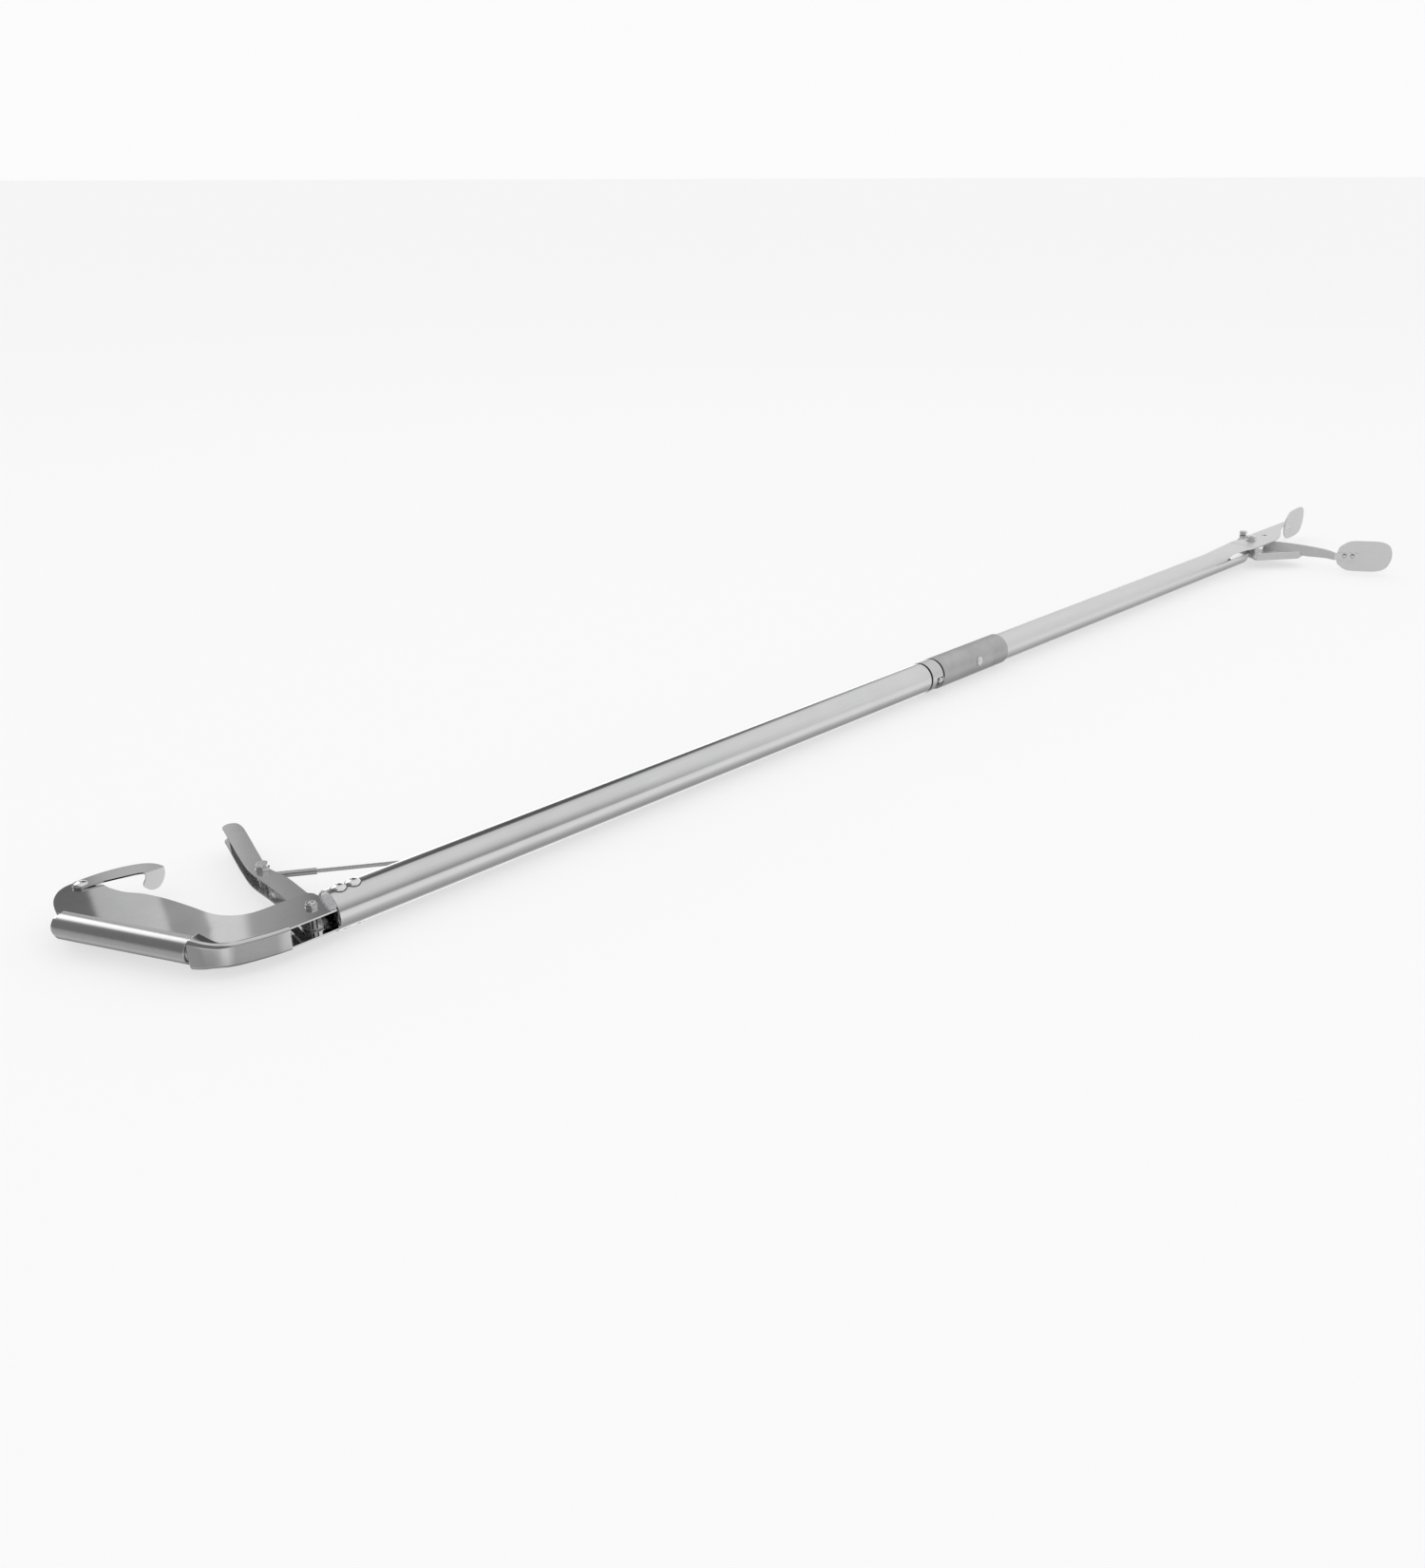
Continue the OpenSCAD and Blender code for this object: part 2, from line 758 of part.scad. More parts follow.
module jaw_pivot_bush() {
    color("darkgray")
        washer(jaw_pivot, floor_z + jaw_t + 0.1, tongue_z, 4.5, bolt6_r);
}

// ---------- Moving jaw ----------

// Middle of the tab behind the moving pad, at distance s from the pad's root edge
function tab_point(s) = moving_pad_at
    + (jaw_t + 0.03) * [sin(moving_pad_angle), -cos(moving_pad_angle)]
    + s * [cos(moving_pad_angle), sin(moving_pad_angle)];

// Upright side that starts beside the pivot, runs on as the arm and ends as the pad's tab
function arm_path() =
    let (x = round_x1)
    concat(
        smooth([
            [x + 50, -5], [x + 55, -22], [x + 59, -45], [x + 58.8, -64], [x + 56, -76], tab_point(-3)
        ], 5),
        [tab_point(-1), tab_point(21)]
    );

function near_side() =
    let (x = round_x1) [[x + 2.5, -20], [x + 43, -48.5]];

module floor_outline() {
    x = round_x1;
    arm = arm_path();
    polygon(concat(
        [near_side()[0], near_side()[1], [x + 58, -47]],
        [for (i = [10 : -1 : 0]) arm[i]],
        [[x + 48, 12], [x + 24, 14]]
    ));
    translate([jaw_pivot.x, jaw_pivot.y]) circle(r = 11);
    translate([tail.x, tail.y]) circle(r = 6.4);
    // Straight-sided neck between the pivot boss and the tail
    translate([jaw_pivot.x, jaw_pivot.y]) rotate(tail_angle)
        translate([0, -6.4]) square([tail_lever, 12.8]);
}

module moving_jaw() {
    arm_h = arm_top - floor_z;
    color("silver")
    difference() {
        union() {
            translate([0, 0, floor_z]) linear_extrude(jaw_t) floor_outline();
            translate([0, 0, floor_z]) linear_extrude(arm_h) polygon(ribbon(arm_path(), jaw_t));
            translate([0, 0, floor_z]) linear_extrude(7.5) polygon(ribbon(near_side(), jaw_t));
        }
        // Lower edge of the arm rises towards the pad
        translate([round_x1, 0, 0]) rotate([90, 0, 90]) linear_extrude(100)
            polygon([[-51, floor_z - 1], [-52, floor_z], [-84, floor_z + 3.6], [-140, floor_z + 4],
                [-140, floor_z - 1]]);
        post(jaw_pivot, floor_z - 1, 0, bolt6_r + run);
        post(tail, floor_z - 1, 0, bolt4_r);
        at_pad(moving_pad_at, moving_pad_angle) pad_holes();
    }
}

module moving_pad() {
    color("gainsboro") at_pad(moving_pad_at, moving_pad_angle) pad_plate(0);
}

module moving_pad_rivets() {
    color("gainsboro") at_pad(moving_pad_at, moving_pad_angle)
        pad_rivets(-1.5 * jaw_t - 0.05, jaw_t / 2);
}

module jaw_cable_bolt() {
    color("gainsboro") bolt(tail, floor_z - 2.8, floor_z, 10.4, bolt4_r, 7);
}

module jaw_cable_nut() {
    color("gainsboro") nut(tail, jaw_rope_z + 2.7, jaw_rope_z + 5.9, 7, bolt4_r);
}

module jaw_cable_spacers() {
    color("gainsboro") {
        washer(tail, floor_z + jaw_t, jaw_rope_z - 1.8, 3.4, bolt4_r);
        washer(tail, jaw_rope_z + 1.8, jaw_rope_z + 2.7, 3.2, bolt4_r);
    }
}

module jaw_ferrule() {
    color("gainsboro") ferrule(tail, jaw_rope_angle, jaw_rope_z, bolt4_r, jaw_ferrule_end);
}

module jaw_rope() {
    color("silver") translate([tail.x, tail.y, jaw_rope_z]) rotate([0, 0, jaw_rope_angle])
        rod_x(jaw_ferrule_end - 8, jaw_rope_end, rope_d / 2);
}

// Torsion spring round the bush, with a leg that bears on the near side of the jaw
module jaw_spring() {
    coil_r = 6.3;
    wire_r = 0.6;
    turns = 4;
    pitch = 1.5;
    leg_angle = 222;
    start_z = floor_z + jaw_t + 1;
    per_turn = 24;
    sides = 8;
    steps = turns * per_turn;
    leg_len = 31;
    color("gray")
    translate([jaw_pivot.x, jaw_pivot.y, 0]) {
        skin([
            for (i = [0 : steps])
                let (
                    a = leg_angle + 90 + 360 * i / per_turn,
                    z = start_z + pitch * i / per_turn
                )
                [for (k = [0 : sides - 1])
                    let (b = 360 * k / sides, r = coil_r + wire_r * cos(b))
                    [r * cos(a), r * sin(a), z + wire_r * sin(b)]]
        ]);
        rotate([0, 0, leg_angle]) translate([-0.3, -coil_r, start_z])
            rotate([0, 90, 0]) rotate([0, 0, 22.5]) cylinder(h = leg_len, r = wire_r, $fn = 16);
    }
}

// ---------- Assembly ----------

rear_tube();
handle_frame();
palm_guard();
handle_rivets();
trigger_pivot_bolt();
trigger_pivot_nut();
trigger_pivot_washers();
trigger();
cable_anchor_bolt();
cable_anchor_nut();
cable_anchor_washers();
trigger_ferrule();
trigger_rope();
pull_rope();
latch_hook();
latch_rivet();
latch_washer();
spigot();
index_ring();
retaining_ring();
coupling_sleeve();
index_pin();
sleeve_rivets();
front_tube();
fixed_pad();
fixed_pad_rivets();
jaw_pivot_bolt();
jaw_pivot_nut();
jaw_pivot_washer();
jaw_pivot_bush();
jaw_spring();
moving_jaw();
moving_pad();
moving_pad_rivets();
jaw_cable_bolt();
jaw_cable_nut();
jaw_cable_spacers();
jaw_ferrule();
jaw_rope();
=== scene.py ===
import math

import bpy
from mathutils import Matrix, Vector


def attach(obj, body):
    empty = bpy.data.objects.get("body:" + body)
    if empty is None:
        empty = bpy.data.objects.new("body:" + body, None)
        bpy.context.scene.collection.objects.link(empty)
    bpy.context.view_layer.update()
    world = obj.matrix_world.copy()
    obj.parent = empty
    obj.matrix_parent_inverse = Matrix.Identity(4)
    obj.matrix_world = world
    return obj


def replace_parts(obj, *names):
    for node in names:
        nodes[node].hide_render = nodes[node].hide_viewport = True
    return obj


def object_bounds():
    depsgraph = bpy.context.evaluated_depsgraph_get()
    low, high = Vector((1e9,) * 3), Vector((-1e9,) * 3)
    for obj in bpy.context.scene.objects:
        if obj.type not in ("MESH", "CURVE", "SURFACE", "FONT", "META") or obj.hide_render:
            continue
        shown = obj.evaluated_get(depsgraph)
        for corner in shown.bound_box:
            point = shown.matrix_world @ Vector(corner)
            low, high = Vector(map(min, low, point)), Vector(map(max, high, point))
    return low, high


MM = 0.001

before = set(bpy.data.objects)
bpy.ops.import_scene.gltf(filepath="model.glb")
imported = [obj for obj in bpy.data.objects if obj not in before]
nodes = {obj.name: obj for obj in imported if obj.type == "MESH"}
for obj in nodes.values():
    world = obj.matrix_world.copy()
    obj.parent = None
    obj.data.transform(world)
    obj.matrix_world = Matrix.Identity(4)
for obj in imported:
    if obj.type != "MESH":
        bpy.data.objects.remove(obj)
cad_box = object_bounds()

# ---------------------------------------------------------------- shader node helpers

MIX_A, MIX_B, MIX_RESULT = 6, 7, 2  # the colour sockets of a Mix node


def new_material(name):
    mat = bpy.data.materials.new(name)
    mat.use_nodes = True
    return mat, mat.node_tree, principled(mat)


def principled(mat):
    return mat.node_tree.nodes["Principled BSDF"]


def add(nt, kind, **values):
    """New node: each value sets the input of that name, or else the property."""
    n = nt.nodes.new(kind)
    for k, v in values.items():
        if k in n.inputs:
            n.inputs[k].default_value = v
        else:
            setattr(n, k, v)
    return n


def plug(nt, socket, source):
    """A number, a colour or another node's output goes into the socket."""
    if isinstance(source, (int, float, tuple)):
        socket.default_value = source
    else:
        nt.links.new(source, socket)


def grey(v):
    return (v, v, v, 1)


def maths(nt, op, a, b):
    n = add(nt, "ShaderNodeMath", operation=op)
    plug(nt, n.inputs[0], a)
    plug(nt, n.inputs[1], b)
    return n.outputs["Value"]


def map_range(nt, value, lo, hi, to_lo=0.0, to_hi=1.0):
    n = add(nt, "ShaderNodeMapRange",
            **{"From Min": lo, "From Max": hi, "To Min": to_lo, "To Max": to_hi})
    nt.links.new(value, n.inputs["Value"])
    return n.outputs["Result"]


def mix(nt, fac, a, b, **values):
    """Colour a where fac is 0, b where it is 1."""
    n = add(nt, "ShaderNodeMix", data_type="RGBA", **values)
    plug(nt, n.inputs[0], fac)
    plug(nt, n.inputs[MIX_A], a)
    plug(nt, n.inputs[MIX_B], b)
    return n.outputs[MIX_RESULT]


def ramp(nt, fac, stops):
    """Brightness along fac: stops are (position 0 to 1, value)."""
    n = add(nt, "ShaderNodeValToRGB")
    e = n.color_ramp.elements
    for k, (at, v) in ((0, stops[0]), (1, stops[-1])):
        e[k].position, e[k].color = at, grey(v)
    for at, v in stops[1:-1]:
        e.new(at).color = grey(v)
    nt.links.new(fac, n.inputs["Fac"])
    return n.outputs["Color"]


def angle_ramp(nt, angle, lo, hi, stops):
    """Brightness along an angle in radians: lo, hi and the stops are in degrees."""
    fac = map_range(nt, angle, math.radians(lo), math.radians(hi))
    return ramp(nt, fac, [((d - lo) / (hi - lo), v) for d, v in stops])


# ---------------------------------------------------------------- materials


def sheet_metal(name, tone, rough, grain=(1, 1, 1), grain_scale=900.0, streak=0.10, blotch=0.06,
                blotch_scale=35.0, bump=0.02, rough_var=0.08, metallic=1.0):
    """Bare metal: drawn grain along one axis, cloudy tone and roughness, fine surface relief."""
    mat, nt, bsdf = new_material(name)
    link = nt.links.new
    co = add(nt, "ShaderNodeTexCoord")
    mp = add(nt, "ShaderNodeMapping")
    mp.inputs["Scale"].default_value = grain
    link(co.outputs["Object"], mp.inputs["Vector"])
    fine = add(nt, "ShaderNodeTexNoise", Scale=grain_scale, Detail=4.0, Roughness=0.6)
    link(mp.outputs["Vector"], fine.inputs["Vector"])
    cloud = add(nt, "ShaderNodeTexNoise", Scale=blotch_scale, Detail=3.0, Roughness=0.55)
    link(co.outputs["Object"], cloud.inputs["Vector"])
    shade = maths(nt, "MULTIPLY",
                  map_range(nt, fine.outputs["Fac"], 0, 1, 1.0 - streak, 1.0 + streak),
                  map_range(nt, cloud.outputs["Fac"], 0, 1, 1.0 - blotch, 1.0 + blotch))
    col = add(nt, "ShaderNodeVectorMath", operation="SCALE")
    col.inputs[0].default_value = tone
    link(shade, col.inputs["Scale"])
    link(col.outputs["Vector"], bsdf.inputs["Base Color"])
    link(map_range(nt, cloud.outputs["Fac"], 0, 1, max(rough - rough_var, 0.02),
                   rough + rough_var), bsdf.inputs["Roughness"])
    bsdf.inputs["Metallic"].default_value = metallic
    bp = add(nt, "ShaderNodeBump", Strength=bump, Distance=0.0002)
    link(fine.outputs["Fac"], bp.inputs["Height"])
    link(bp.outputs["Normal"], bsdf.inputs["Normal"])
    return mat


HANDLE = sheet_metal("sheet_steel_handle", (0.70, 0.70, 0.71), 0.04, grain=(0.3, 1, 1),
                     rough_var=0.01, blotch=0.12, streak=0.06, bump=0.004)
GUARD = sheet_metal("rolled_sheet", (0.74, 0.74, 0.745), 0.25, grain=(0.3, 1, 1), rough_var=0.03)
LATCH = sheet_metal("latch_sheet", (0.70, 0.70, 0.705), 0.14, rough_var=0.03, streak=0.04,
                    bump=0.004, blotch=0.10)
TRIGGER = sheet_metal("sheet_steel_trigger", (0.56, 0.56, 0.565), 0.12, rough_var=0.04,
                      streak=0.06, blotch=0.14, bump=0.006, metallic=0.8)
TUBE = sheet_metal("drawn_tube", (0.76, 0.76, 0.765), 0.19, rough_var=0.04, grain=(0.03, 1, 1),
                   streak=0.06)
TUBE_FRONT = sheet_metal("drawn_tube_front", (0.80, 0.80, 0.805), 0.34, grain=(0.03, 1, 1),
                         streak=0.06)
RING = sheet_metal("turned_ring", (0.70, 0.70, 0.70), 0.33, grain=(1, 0.1, 0.1), streak=0.14)
SLEEVE = sheet_metal("matte_sleeve", (0.60, 0.60, 0.605), 0.50, grain=(1, 0.15, 0.15),
                     streak=0.05, blotch=0.30, blotch_scale=45, rough_var=0.1)
BOLT = sheet_metal("bright_fastener", (0.86, 0.86, 0.86), 0.12, streak=0.05, grain_scale=500)
STRAND = sheet_metal("rope_strand", (0.72, 0.72, 0.73), 0.25, streak=0.05)
# Rope steel; the two ferrules take it too, as painted shade for the shade that falls on them
ROPE_STEEL_AND_SHADE = sheet_metal("rope_steel_and_painted_shade", (0.55, 0.55, 0.56), 0.30)
SPRING = sheet_metal("spring_steel", (0.40, 0.40, 0.41), 0.35)
# Duller than bare metal: the head, like galvanised sheet, and its fasteners; then a dark metal,
# also used as painted shade
HEAD_SHEET = sheet_metal("sheet_steel_head", (0.78, 0.78, 0.785), 0.36, grain=(0.3, 1, 1),
                         metallic=0.5)
HEAD_BOLT = sheet_metal("plated_fastener", (0.78, 0.78, 0.78), 0.30, streak=0.05,
                        grain_scale=500, metallic=0.6)
# Dark metal for the spigot; the strip in the slit's bore and the rings round the rivet heads use
# it as painted shade
DARK = sheet_metal("dark_metal_and_painted_shade", (0.10, 0.10, 0.10), 0.5, metallic=0.3)
# Painted highlight: the bore at the rear tube's mouth glows a little, as it comes out too dark
# otherwise
BORE_GLOW = sheet_metal("painted_bore_highlight", (0.90, 0.90, 0.90), 0.5, metallic=0.2)
principled(BORE_GLOW).inputs["Emission Color"].default_value = grey(1)
principled(BORE_GLOW).inputs["Emission Strength"].default_value = 0.3

# Every node that isn't named here is a bright fastener
LOOK = {
    "rear_tube": TUBE, "front_tube": TUBE_FRONT, "handle_frame": HANDLE, "palm_guard": GUARD,
    "trigger": TRIGGER, "latch_hook": LATCH, "moving_jaw": HEAD_SHEET, "fixed_pad": HEAD_SHEET,
    "moving_pad": HEAD_SHEET, "index_ring": RING, "coupling_sleeve": SLEEVE, "spigot": DARK,
    "sleeve_rivets": HEAD_BOLT, "jaw_pivot_bolt": HEAD_BOLT, "jaw_pivot_nut": HEAD_BOLT,
    "jaw_pivot_washer": HEAD_BOLT, "jaw_cable_bolt": HEAD_BOLT, "jaw_cable_nut": HEAD_BOLT,
    # Painted shade: the ferrules take the darker rope steel for the shade that falls on them
    "jaw_cable_spacers": HEAD_BOLT, "trigger_ferrule": ROPE_STEEL_AND_SHADE, "jaw_ferrule": ROPE_STEEL_AND_SHADE,
    "pull_rope": ROPE_STEEL_AND_SHADE, "trigger_rope": ROPE_STEEL_AND_SHADE, "jaw_rope": ROPE_STEEL_AND_SHADE, "jaw_spring": SPRING,
}
for name, ob in nodes.items():
    ob.data.materials.clear()
    ob.data.materials.append(LOOK.get(name, BOLT))

# ---------------------------------------------------------------- edges of the CAD nodes

# Width of the worn edges, in mm
BEVEL = {"handle_frame": 0.22, "trigger": 0.22, "front_tube": 0.2, "rear_tube": 0.2,
         "fixed_pad": 0.3, "moving_pad": 0.3, "coupling_sleeve": 0.25, "index_ring": 0.25}
BEVEL_OTHERS = 0.15
BEVEL_ANGLE = 38  # degrees: flatter edges stay as they are
WELD_WITHIN = 2e-6  # metres
# These two keep the CAD's own edges and shading
PLAIN_EDGES = ("latch_hook", "moving_jaw")


def bevel(ob, width, angle):
    bev = ob.modifiers.new("bevel", "BEVEL")
    bev.width = width * MM
    bev.segments = 2
    bev.limit_method = "ANGLE"
    bev.angle_limit = math.radians(angle)


def weighted_normals(ob):
    ob.modifiers.new("normals", "WEIGHTED_NORMAL").keep_sharp = True


# Modifiers do all of it, so the imported meshes stay as they are
for name, ob in nodes.items():
    if name in PLAIN_EDGES:
        continue
    ob.modifiers.new("weld", "WELD").merge_threshold = WELD_WITHIN
    bevel(ob, BEVEL.get(name, BEVEL_OTHERS), BEVEL_ANGLE)
    for p in ob.data.polygons:
        p.use_smooth = True
    weighted_normals(ob)

# ---------------------------------------------------------------- added pieces, in mm


def mesh_piece(name, verts, faces, mat, body):
    """Smooth-shaded mesh that rides on a CAD body."""
    me = bpy.data.meshes.new(name)
    me.from_pydata([tuple(c * MM for c in v) for v in verts], [], faces)
    me.materials.append(mat)
    for p in me.polygons:
        p.use_smooth = True
    me.update()
    ob = bpy.data.objects.new(name, me)
    bpy.context.scene.collection.objects.link(ob)
    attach(ob, body)
    return ob


def grid_faces(rows, cols, closed):
    """Quads between rows of cols points, where a closed row joins its last point to its first."""
    faces = []
    for i in range(rows - 1):
        for j in range(cols if closed else cols - 1):
            k = (j + 1) % cols
            faces.append((i * cols + j, i * cols + k, (i + 1) * cols + k, (i + 1) * cols + j))
    return faces


def thicken(ob, thickness, offset=0):
    sol = ob.modifiers.new("thickness", "SOLIDIFY")
    sol.thickness = thickness * MM
    sol.offset = offset


def sheet_piece(name, rows, mat, body, thickness, offset=0):
    """Open sheet through rows of points, given a thickness."""
    ob = mesh_piece(name, [v for row in rows for v in row],
                    grid_faces(len(rows), len(rows[0]), False), mat, body)
    thicken(ob, thickness, offset)
    return ob


def arc(radius, first, last, step):
    """Points round a circle, in whole degrees, both ends included."""
    stop = last + (1 if step > 0 else -1)
    return [(radius * math.cos(math.radians(a)), radius * math.sin(math.radians(a)))
            for a in range(first, stop, step)]


def catmull(p, n):
    """Smooth open curve through every point, n steps between neighbours."""
    p = [Vector(q) for q in p]
    out = []
    for i in range(len(p) - 1):
        a, b, c, d = p[max(i - 1, 0)], p[i], p[i + 1], p[min(i + 2, len(p) - 1)]
        for k in range(n):
            t = k / n
            out.append(0.5 * (2 * b + (c - a) * t + (2 * a - 5 * b + 4 * c - d) * t * t
                              + (3 * b - a - 3 * c + d) * t ** 3))
    return out + [p[-1]]


# Wire rope: six round strands laid in a helix round a core
ROPE_R = 1.25
STRAND_R = ROPE_R * 0.36
LAY_R = ROPE_R - STRAND_R
CORE_SWELL = 1.15
LAY_PITCH = 13
STRANDS = 6
STRAND_SIDES = 7
ROPE_STEP = 0.9


def strand_rope(name, bolt, towards, near, far, body, stands_for):
    """The rope runs from the bolt towards a point, between two distances from the bolt."""
    line = (towards - bolt).normalized()
    start, end = bolt + line * near, bolt + line * far
    axis = (end - start).normalized()
    u = axis.cross(Vector((0, 0, 1))).normalized()
    w = axis.cross(u)
    length = (end - start).length
    steps = int(length / ROPE_STEP)
    verts, faces = [], []
    for lay, phase in [(LAY_R, 2 * math.pi * k / STRANDS) for k in range(STRANDS)] + [(0.0, 0.0)]:
        base = len(verts)
        radius = STRAND_R * (1.0 if lay else CORE_SWELL)
        for i in range(steps + 1):
            s = length * i / steps
            ang = phase + 2 * math.pi * s / LAY_PITCH
            c = start + axis * s + (u * math.cos(ang) + w * math.sin(ang)) * lay
            for k in range(STRAND_SIDES):
                t = 2 * math.pi * k / STRAND_SIDES
                verts.append(c + (u * math.cos(t) + w * math.sin(t)) * radius)
        faces += [tuple(v + base for v in f) for f in grid_faces(steps + 1, STRAND_SIDES, True)]
        faces.append(tuple(base + k for k in range(STRAND_SIDES)))
        faces.append(tuple(base + steps * STRAND_SIDES + k for k in reversed(range(STRAND_SIDES))))
    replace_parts(mesh_piece(name, verts, faces, STRAND, body), stands_for)


# The CAD's ropes are plain rods. Each starts in its ferrule, a little way from the bolt
TRIGGER_BOLT, TUBE_SLOT = Vector((-6.4, 65.2, 0)), Vector((79, 12, 0))
strand_rope("trigger_rope_strands", TRIGGER_BOLT, TUBE_SLOT, 24, 138, "rear_link", "trigger_rope")
JAW_PIVOT, JAW_ROPE_Z = (1151, 3.5), 4.2
TAIL_REACH, TAIL_ANGLE = 32, math.radians(39.4)
JAW_BOLT = Vector((JAW_PIVOT[0] + TAIL_REACH * math.cos(TAIL_ANGLE),
                   JAW_PIVOT[1] + TAIL_REACH * math.sin(TAIL_ANGLE), JAW_ROPE_Z))
HEAD_SLIT = Vector((1112, 7, JAW_ROPE_Z))
strand_rope("jaw_rope_strands", JAW_BOLT, HEAD_SLIT, 21, 58, "jaw_link", "jaw_rope")

# Rolled palm guard, with its edges eased at both ends
GUARD_ROOT, GUARD_LENGTH = Vector((-74.5, 12.6)), 87.0
GUARD_DIR, GUARD_OUT = Vector((-0.4552, 0.8904)), Vector((-0.8904, -0.4552))
GUARD_R_OUT, GUARD_R_IN, GUARD_LIP = 7.9, 6.7, -2.7
GUARD_EASE = 0.25
# Along the guard, and how much the section draws in there
GUARD_ROWS = ((1.5, 0.3), (1.62, 0.1), (1.8, 0), (GUARD_LENGTH / 3, 0), (2 * GUARD_LENGTH / 3, 0),
              (GUARD_LENGTH + 1.2, 0), (GUARD_LENGTH + 1.38, 0.1), (GUARD_LENGTH + 1.5, 0.3))


def guard_section(ease):
    ro, ri = GUARD_R_OUT - ease, GUARD_R_IN + ease
    step_in = GUARD_LIP + GUARD_EASE
    outer = [(step_in, ro)] + arc(ro, 90, -90, -5) + [(step_in, -ro)]
    inner = [(GUARD_LIP, -ro + GUARD_EASE), (GUARD_LIP, -ri)] + arc(ri, -90, 90, 5)
    return outer + inner + [(GUARD_LIP, ri), (GUARD_LIP, ro - GUARD_EASE)]


def guard_skin():
    rows = []
    for at, ease in GUARD_ROWS:
        base = GUARD_ROOT + GUARD_DIR * at
        rows.append([(base.x + GUARD_OUT.x * out, base.y + GUARD_OUT.y * out, z)
                     for out, z in guard_section(ease)])
    n = len(rows[0])
    end = (len(rows) - 1) * n
    faces = grid_faces(len(rows), n, True)
    for a in range(n // 2 - 1):
        b = a + 1
        faces.append((a, n - 1 - a, n - 1 - b, b))
        faces.append((end + b, end + n - 1 - b, end + n - 1 - a, end + a))
    ob = mesh_piece("palm_guard_skin", [v for row in rows for v in row], faces, GUARD, "pole_rear")
    weighted_normals(ob)
    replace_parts(ob, "palm_guard")


# The rear tube's open end and the outer tube's slit: places along the tube, and a radius just
# inside its bore
MOUTH_X, MOUTH_R = (0.4, 5, 10, 16), 10.95
SLIT_X, SLIT_R = (1046, 1070, 1094, 1114), 10.92


def bore_strip(name, xs, radius, first, last, step, mat, body, thickness):
    """Strip round the inside of a tube, from one angle to another, in whole degrees."""
    ring = arc(radius, first, last, step)
    sheet_piece(name, [[(x, y, z) for y, z in ring] for x in xs], mat, body, thickness)


RIVET_X, RIVET_R = (7.5, 16.7), 4.5
SHADE_RING_IN, SHADE_RING_OUT = RIVET_R - 0.3, RIVET_R + 0.45
SHADE_RING_ON_R = 12.56  # just over the rear tube's surface
SHADE_RING_STEPS = 28


def rivet_shade_rings():
    """Painted shadow: dark line round each rivet head where it meets the rear tube."""
    verts, faces = [], []
    for cx in RIVET_X:
        base = len(verts)
        for k in range(SHADE_RING_STEPS):
            t = 2 * math.pi * k / SHADE_RING_STEPS
            for r in (SHADE_RING_IN, SHADE_RING_OUT):
                x, y = cx + r * math.cos(t), r * math.sin(t)
                verts.append((x, y, math.sqrt(SHADE_RING_ON_R ** 2 - y * y)))
        for k in range(SHADE_RING_STEPS):
            a, b = base + 2 * k, base + 2 * ((k + 1) % SHADE_RING_STEPS)
            faces.append((a, a + 1, b + 1, b))
    thicken(mesh_piece("rivet_shade_rings", verts, faces, DARK, "pole_rear"), 0.1)


HEEL_PATH = [(-74.3, 12.1), (-71.2, 4.6), (-66.4, -2.4), (-58.5, -6.8), (-48.5, -9.6),
             (-38.4, -11.5), (-31, -12.2)]
HEEL_HALF_WIDTH = 6.62
FOLD_OUT, FOLD_LIP, FOLD_SWELL = 0.45, -1.5, 2.4
BELL_SPREAD = 2.0
# How far along the path each of them lasts, as a share of it
BELL_REACH, SWELL_REACH, ROUND_REACH = 0.34, 0.6, 0.5
FOLD_STEPS = 8


def fade(t, reach):
    return max(0.0, 1 - t / reach)


def heel_skin():
    """Rounded fold of the frame's near wall, flared into a bell mouth round the guard's end."""
    path = catmull(HEEL_PATH, 6)
    last = len(path) - 1
    rows = []
    for i, p in enumerate(path):
        d = (path[min(i + 1, last)] - path[max(i - 1, 0)]).normalized()
        side = Vector((d.y, -d.x))
        t = i / last
        flare = fade(t, BELL_REACH)
        flare = flare * flare * (3 - 2 * flare)
        half_h = HEEL_HALF_WIDTH + BELL_SPREAD * flare
        out = FOLD_OUT + FOLD_SWELL * fade(t, SWELL_REACH) ** 1.3 + FOLD_SWELL * flare
        r = min(out + 1.3, 1.5 + fade(t, ROUND_REACH))
        sec = [(FOLD_LIP - BELL_SPREAD * flare, half_h)]
        for k in range(FOLD_STEPS + 1):
            a = math.radians(90 - 90 / FOLD_STEPS * k)
            sec.append((out - r + r * math.cos(a), half_h - r + r * math.sin(a)))
        sec += [(q[0], -q[1]) for q in reversed(sec)]
        rows.append([(p.x + side.x * q[0], p.y + side.y * q[0], q[1]) for q in sec])
    bevel(sheet_piece("heel_fold", rows, HANDLE, "pole_rear", 0.9, 1.0), 0.3, 50)


guard_skin()
# Painted highlight: glowing strips on the bore of the rear tube just inside its open end, above
# and below the frame
bore_strip("tube_mouth_top_glow", MOUTH_X, MOUTH_R, 35, 145, 5, BORE_GLOW, "pole_rear", 0.2)
bore_strip("tube_mouth_under_glow", MOUTH_X, MOUTH_R, 215, 325, 5, BORE_GLOW, "pole_rear", 0.2)
# Painted shade: a dark strip on the outer tube's lower bore, seen through the slit, where the bore
# lies in shade
bore_strip("slit_bore_shade", SLIT_X, SLIT_R, 195, 375, 6, DARK, "head", 0.1)
# Painted shadow round the rivet heads on the rear tube
rivet_shade_rings()
heel_skin()

# ---------------------------------------------------------------- camera

CAM_FOCAL_PX = 1427.91
CAM_YAW, CAM_PITCH, CAM_ROLL = 0.794565698, 0.426809413, 0.00254779044
CAM_AT = Vector((-317.689, -636.786, 387.067)) * MM
IMAGE_H = 1650
SENSOR = 36.0

